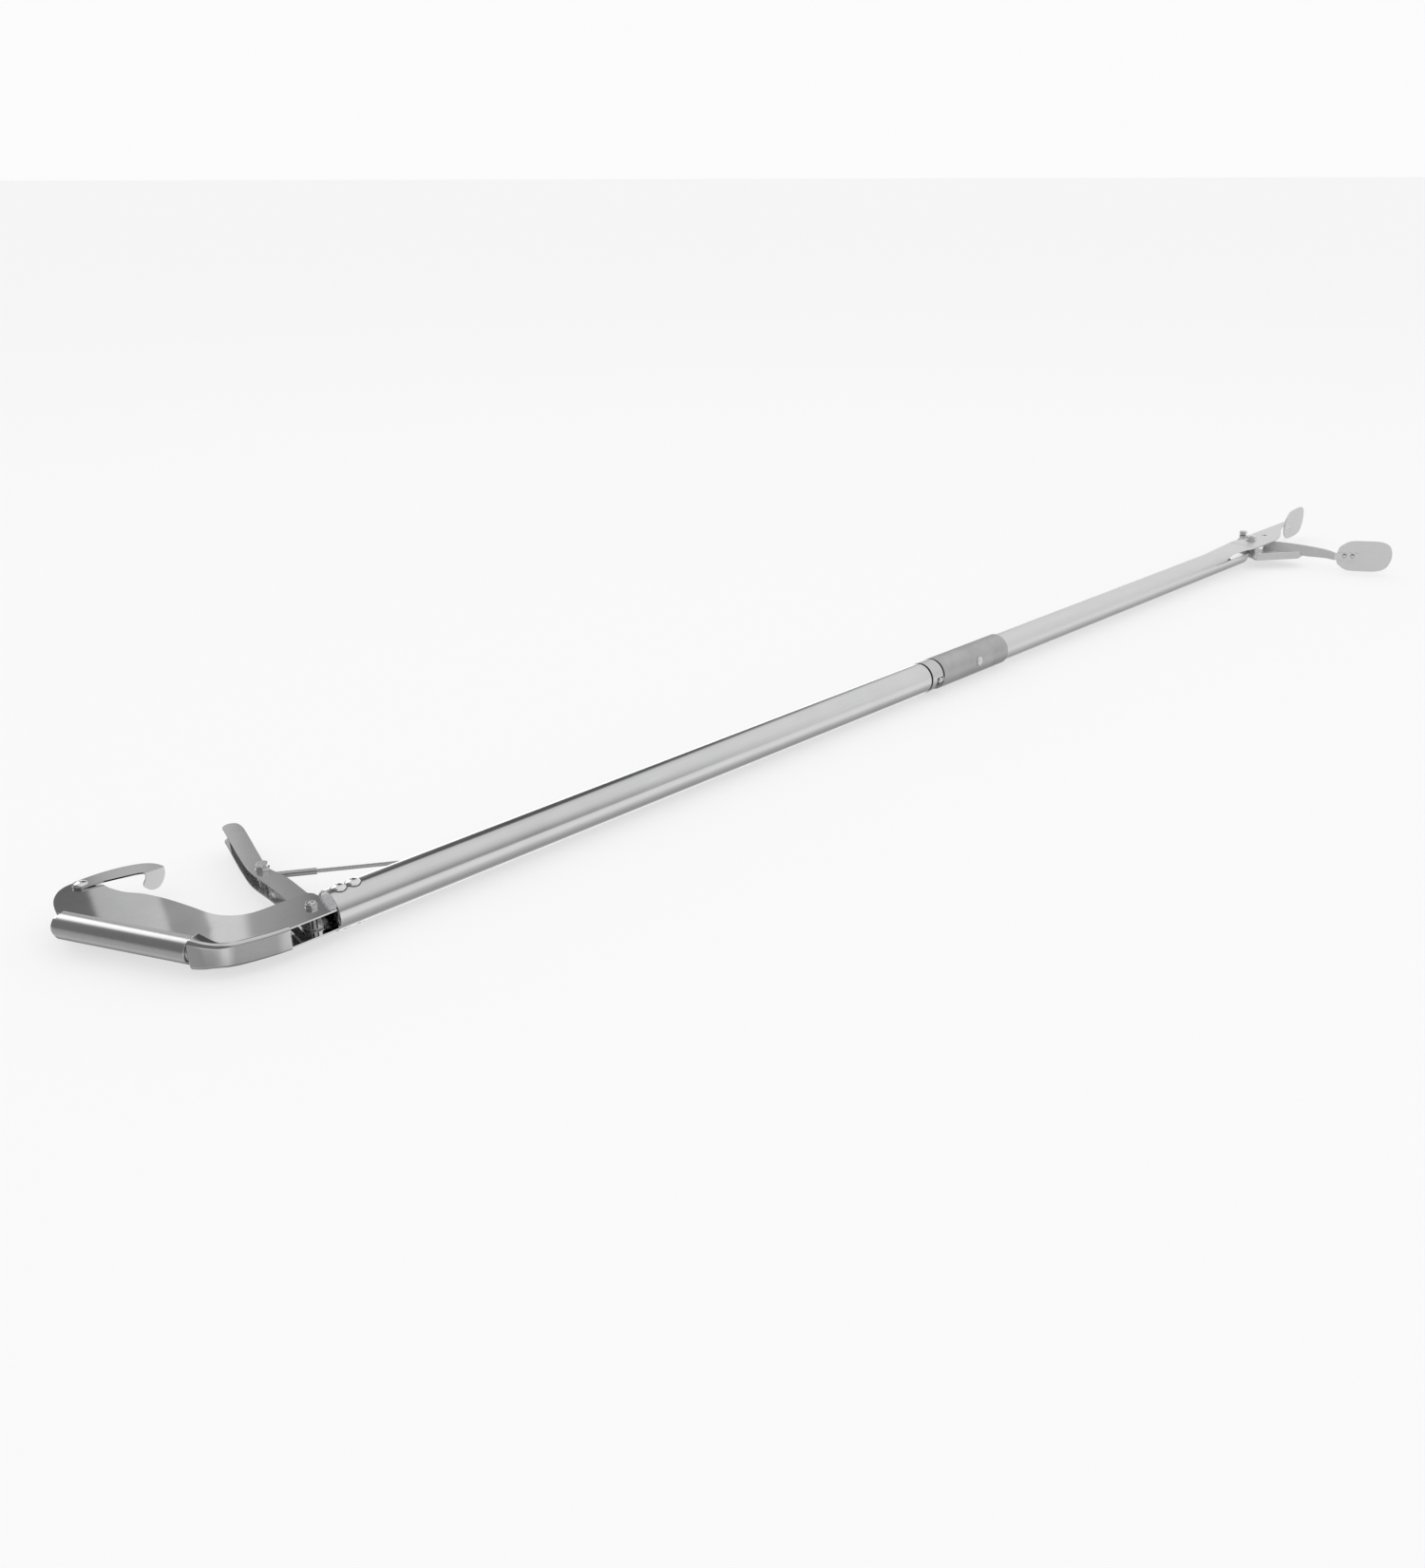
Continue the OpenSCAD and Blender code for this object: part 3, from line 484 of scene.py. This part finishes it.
fwd = Vector((math.cos(CAM_YAW) * math.cos(CAM_PITCH), math.sin(CAM_YAW) * math.cos(CAM_PITCH),
              -math.sin(CAM_PITCH)))
right = Vector((math.sin(CAM_YAW), -math.cos(CAM_YAW), 0.0))
down = fwd.cross(right)
rolled_right = right * math.cos(CAM_ROLL) + down * math.sin(CAM_ROLL)
rolled_down = -right * math.sin(CAM_ROLL) + down * math.cos(CAM_ROLL)
cam_data = bpy.data.cameras.new("camera")
cam_data.sensor_width = SENSOR
cam_data.sensor_fit = "AUTO"
cam_data.lens = CAM_FOCAL_PX * SENSOR / IMAGE_H
cam_data.clip_start = 0.01
cam_data.clip_end = 50
cam = bpy.data.objects.new("camera", cam_data)
bpy.context.scene.collection.objects.link(cam)
place = Matrix((rolled_right, -rolled_down, -fwd)).transposed().to_4x4()
place.translation = CAM_AT
cam.matrix_world = place
bpy.context.scene.camera = cam

# ---------------------------------------------------------------- table

# Brightness of the table, seen by reflection: degrees round the pole, in two sets
TABLE_STOPS = [(-180, 1.7), (-142, 1.7), (-122, 1.0), (-105, 0.44), (-85, 0.36), (-67, 0.47),
               (-49, 0.60), (-31, 0.90), (-13, 0.90), (0, 0.90)]
TABLE_SIDE_STOPS = [(-180, 0.55), (-150, 0.50), (-120, 0.66), (-95, 0.50), (-67, 0.47),
                    (-49, 0.62), (-31, 0.90), (0, 0.95)]
TABLE_SIDE_X = (-0.30, -0.15)  # X of the direction, where one set gives way to the other
# How much of it is left: the direction's X, from 1 at position 0 to -1 at position 1
TABLE_ALONG_STOPS = [(0.12, 0.72), (0.18, 0.88), (0.26, 0.88), (0.36, 0.52), (0.55, 0.55),
                     (0.66, 1)]
STEADY_SHARE = 0.62  # of the tone the camera sees, so the contact shadow stays light

FLOOR_HALF, FLOOR_GAP = 60.0, 0.0005
floor_z = cad_box[0][2] - FLOOR_GAP
floor_mesh = bpy.data.meshes.new("floor")
floor_mesh.from_pydata([(x * FLOOR_HALF, y * FLOOR_HALF, floor_z)
                        for x, y in ((-1, -1), (1, -1), (1, 1), (-1, 1))], [], [(0, 1, 2, 3)])
floor = bpy.data.objects.new("floor", floor_mesh)
bpy.context.scene.collection.objects.link(floor)


def table_material():
    """Pale and matt, but with a tone of its own in the metal, by the direction it is seen from."""
    mat, nt, bsdf = new_material("floor_pale")
    link = nt.links.new
    bsdf.inputs["Roughness"].default_value = 1.0
    bsdf.inputs["Specular IOR Level"].default_value = 0.0
    ray = add(nt, "ShaderNodeLightPath").outputs
    link(mix(nt, ray["Is Camera Ray"], (0.56, 0.56, 0.565, 1), grey(0.93)),
         bsdf.inputs["Base Color"])
    geo = add(nt, "ShaderNodeNewGeometry")
    split = add(nt, "ShaderNodeSeparateXYZ")
    link(geo.outputs["Incoming"], split.inputs["Vector"])
    x, y, z = (split.outputs[axis] for axis in "XYZ")
    angle = maths(nt, "ARCTAN2", maths(nt, "MULTIPLY", z, -1.0), y)
    tone = mix(nt, map_range(nt, x, *TABLE_SIDE_X), angle_ramp(nt, angle, -180, 0, TABLE_STOPS),
               angle_ramp(nt, angle, -180, 0, TABLE_SIDE_STOPS))
    along = ramp(nt, map_range(nt, x, 1.0, -1.0), TABLE_ALONG_STOPS)
    mirrored = add(nt, "ShaderNodeEmission", Strength=0.95)
    link(mix(nt, 1.0, tone, along, blend_type="MULTIPLY"), mirrored.inputs["Color"])
    steady = add(nt, "ShaderNodeEmission", Color=grey(0.95), Strength=1.0)
    surface = bsdf.outputs["BSDF"]
    for fac, other in ((ray["Is Glossy Ray"], mirrored),
                       (maths(nt, "MULTIPLY", ray["Is Camera Ray"], STEADY_SHARE), steady)):
        blend = add(nt, "ShaderNodeMixShader")
        link(fac, blend.inputs[0])
        link(surface, blend.inputs[1])
        link(other.outputs["Emission"], blend.inputs[2])
        surface = blend.outputs["Shader"]
    out = next(n for n in nt.nodes if n.type == "OUTPUT_MATERIAL")
    link(surface, out.inputs["Surface"])
    return mat


floor_mesh.materials.append(table_material())

# ---------------------------------------------------------------- surroundings

# Soft cards round the tool, seen only by reflection, placed so that the light and dark fields
# fall where the photo has them. Brightness, by degrees round the pole from the near side over
# the top: for most directions, and for those towards the head
FRONT_STOPS = [(-20, 0.70), (-6, 0.70), (0, 0.38), (5, 0.28), (11, 0.33), (22, 0.46), (40, 0.66),
               (60, 0.76), (95, 0.76), (113, 0.68), (125, 0.40), (165, 0.60), (180, 0.86)]
FRONT_FAR_STOPS = [(-20, 0.74), (0, 0.78), (60, 0.80), (113, 0.80), (150, 0.76), (176, 0.80),
                   (180, 0.86)]
FAR_X = (0.56, 0.70)  # X of the direction, where one set gives way to the other
# Beyond the pole: degrees from +Y towards +X
BACK_STOPS = [(-60, 1.5), (9, 1.5), (12.5, 0.18), (16.7, 0.18), (17.1, 0.58), (19.4, 0.66),
              (19.8, 0.40), (21.1, 0.40), (21.4, 0.80), (22.7, 0.78), (23.1, 0.44), (25.3, 0.34),
              (26, 0.24), (30, 0.09), (45, 0.10), (50, 0.45), (54, 0.74), (60, 0.80), (90, 0.80)]
# The part of that band that the handle's flat side mirrors, in finer steps
FINE_FROM, FINE_TO = 9, 27
BACK_FINE_STOPS = [(9, 1.5), (12.5, 0.17), (16.75, 0.18), (16.9, 0.56), (19.5, 0.66),
                   (19.62, 0.38), (21.2, 0.42), (21.35, 0.80), (22.7, 0.78), (23.1, 0.44),
                   (25.3, 0.34), (26, 0.24), (27, 0.20)]
# Where round the pole the beyond band takes over
TO_BACK_STOPS = [(0, 0), (116, 0), (127, 1), (162, 1), (176, 0), (200, 0)]
BEHIND_X = (-0.28, -0.45)  # X of the direction, where it goes dark past the handle
BEHIND, DIFFUSE, BACKDROP = grey(0.18), grey(0.92), grey(0.97)

world = bpy.data.worlds.new("studio")
bpy.context.scene.world = world
world.use_nodes = True
wnt = world.node_tree
coords = add(wnt, "ShaderNodeTexCoord")
split = add(wnt, "ShaderNodeSeparateXYZ")
wnt.links.new(coords.outputs["Generated"], split.inputs["Vector"])
dir_x, dir_y, dir_z = (split.outputs[axis] for axis in "XYZ")
over = maths(wnt, "ARCTAN2", dir_z, maths(wnt, "MULTIPLY", dir_y, -1.0))
across = maths(wnt, "ARCTAN2", dir_x, dir_y)
front = mix(wnt, map_range(wnt, dir_x, *FAR_X), angle_ramp(wnt, over, -20, 180, FRONT_STOPS),
            angle_ramp(wnt, over, -20, 180, FRONT_FAR_STOPS))
in_fine = maths(wnt, "MULTIPLY",
                maths(wnt, "GREATER_THAN", across, math.radians(FINE_FROM + 0.1)),
                maths(wnt, "LESS_THAN", across, math.radians(FINE_TO - 0.1)))
back = mix(wnt, in_fine, angle_ramp(wnt, across, -60, 90, BACK_STOPS),
           angle_ramp(wnt, across, FINE_FROM, FINE_TO, BACK_FINE_STOPS))
to_back = add(wnt, "ShaderNodeSeparateColor")
wnt.links.new(angle_ramp(wnt, over, 0, 200, TO_BACK_STOPS), to_back.inputs[0])
mirrored = mix(wnt, to_back.outputs[0], front, back)
mirrored = mix(wnt, map_range(wnt, dir_x, *BEHIND_X), mirrored, BEHIND)
ray = add(wnt, "ShaderNodeLightPath").outputs
seen = mix(wnt, ray["Is Camera Ray"], mix(wnt, ray["Is Diffuse Ray"], mirrored, DIFFUSE), BACKDROP)
background = wnt.nodes["Background"]
wnt.links.new(seen, background.inputs["Color"])
background.inputs["Strength"].default_value = 1.0


def area(name, at, to, size, power):
    """Soft light that doesn't show as a reflection."""
    light = bpy.data.lights.new(name, "AREA")
    light.shape = "RECTANGLE"
    light.size, light.size_y = size
    light.energy = power
    ob = bpy.data.objects.new(name, light)
    bpy.context.scene.collection.objects.link(ob)
    ob.location = at
    ob.rotation_euler = (Vector(to) - Vector(at)).to_track_quat("-Z", "Y").to_euler()
    ob.visible_glossy = False


area("key", (0.2, -1.2, 2.2), (0.45, 0, 0), (3.4, 1.6), 6)
area("top", (0.6, 0.9, 2.6), (0.6, 0, 0), (4.0, 2.0), 6)

bpy.context.scene.view_settings.view_transform = "Standard"
